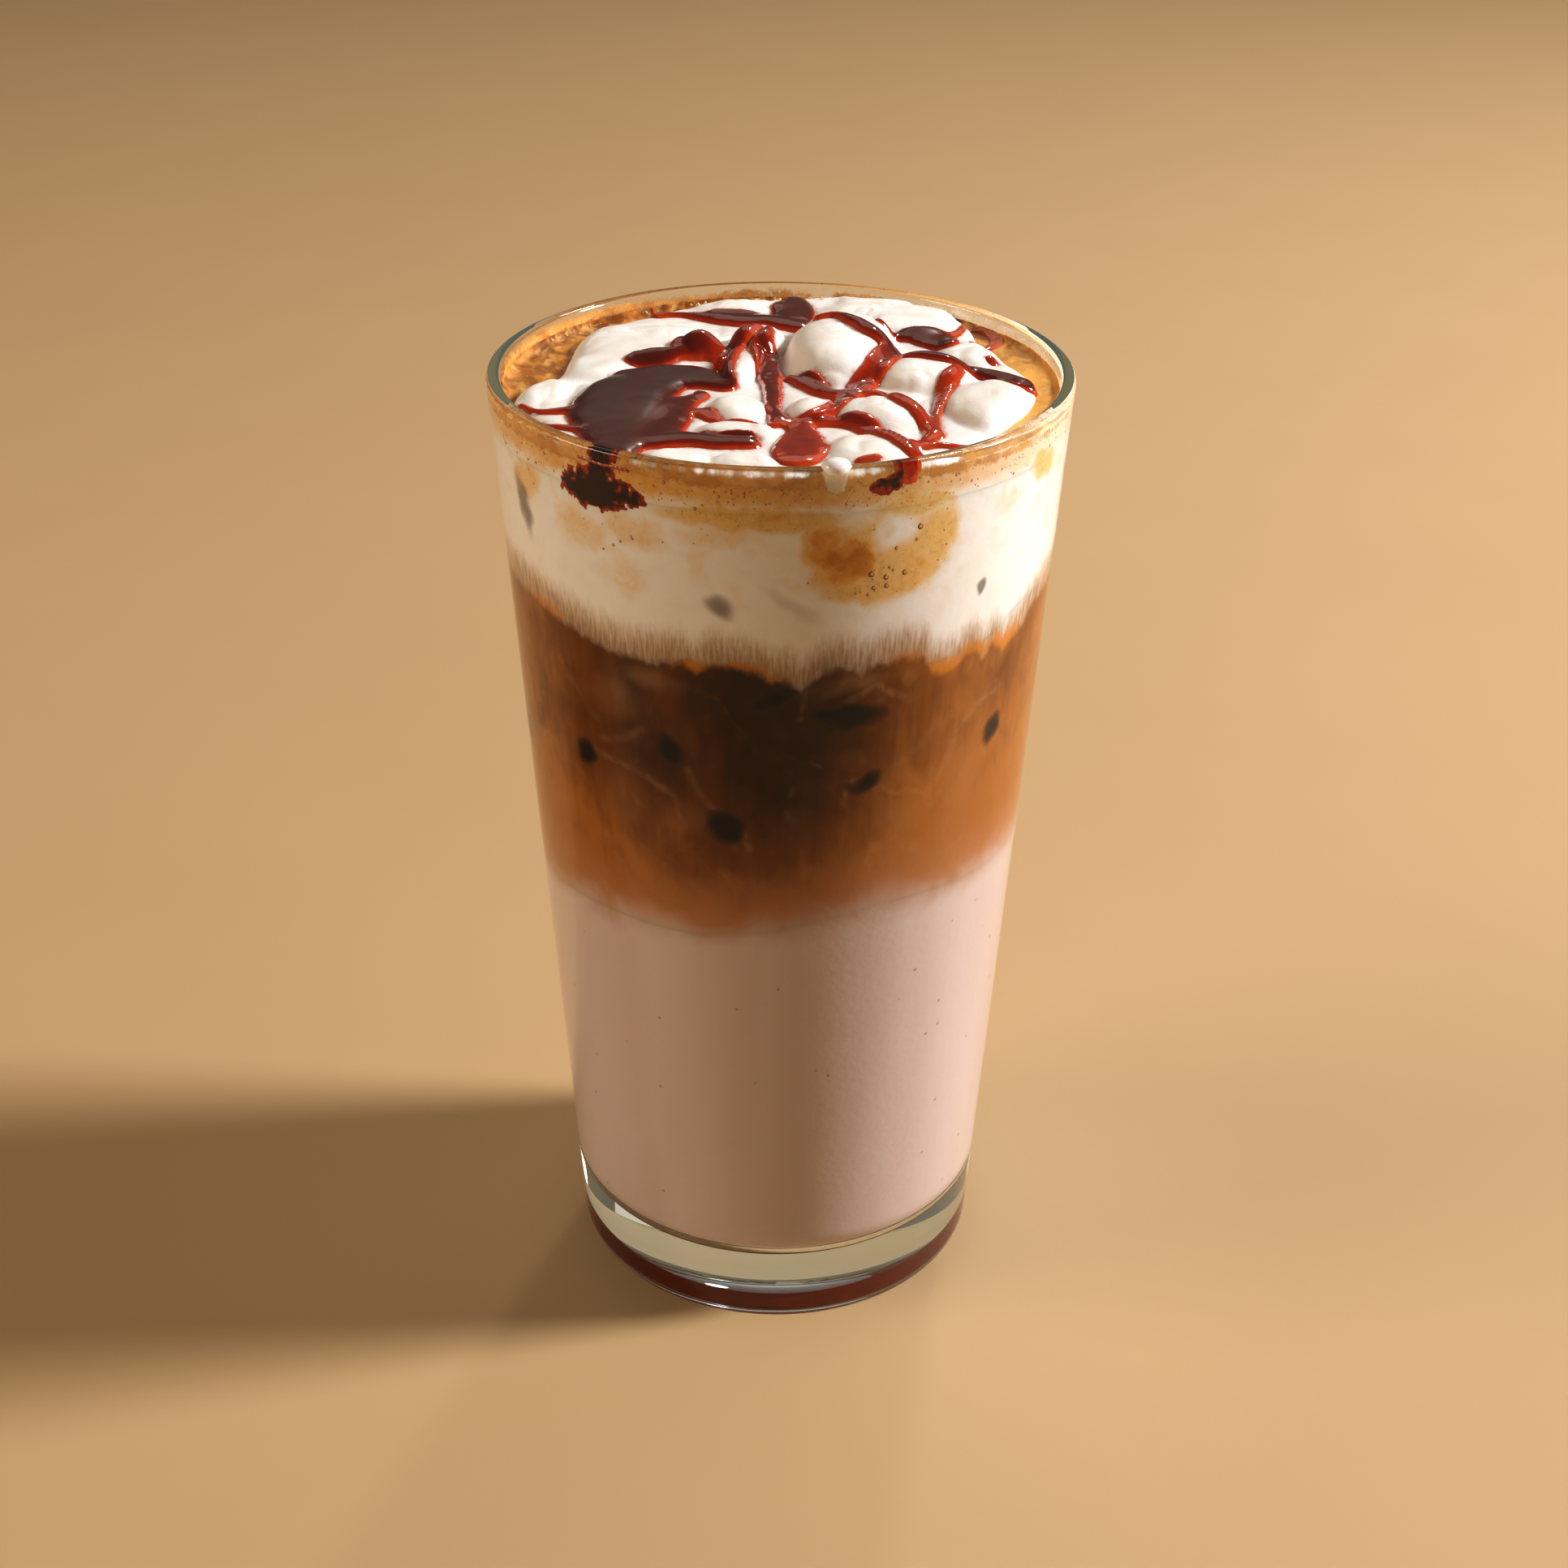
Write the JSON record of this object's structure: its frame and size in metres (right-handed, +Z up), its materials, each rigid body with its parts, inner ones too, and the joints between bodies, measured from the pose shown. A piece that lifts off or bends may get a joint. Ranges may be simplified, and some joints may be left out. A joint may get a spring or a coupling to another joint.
{
  "type": "layered iced latte in a glass",
  "caption": "Tall flared clear tumbler filled with layered iced latte: strawberry milk, coffee, milk foam and crema, topped with whipped cream and syrup.",
  "frame": {"origin": "centre of the circle that the glass stands on, at the lowest point of the foot", "axes": "+Z up along the glass, the front of the drink faces -Y, +X to the right seen from the front"},
  "size_m": [0.0846, 0.0846, 0.1535],
  "materials": {
    "glass": "clear, fire-polished soda-lime glass",
    "strawberry_milk": "opaque milky liquid, wet against the glass",
    "coffee": "dark liquid with ice sunk in it, wet against the glass",
    "milk_foam": "fine wet foam",
    "crema": "bubbly coffee foam",
    "cream_and_syrup": "smooth whipped cream with glossy dark red-brown syrup on it"
  },
  "bodies": {
    "root": {"glass": "glass", "strawberry_milk": "strawberry_milk", "coffee": "coffee", "milk_foam": "milk_foam", "crema": "crema", "cream_and_syrup": "cream_and_syrup"}
  },
  "joints": []
}
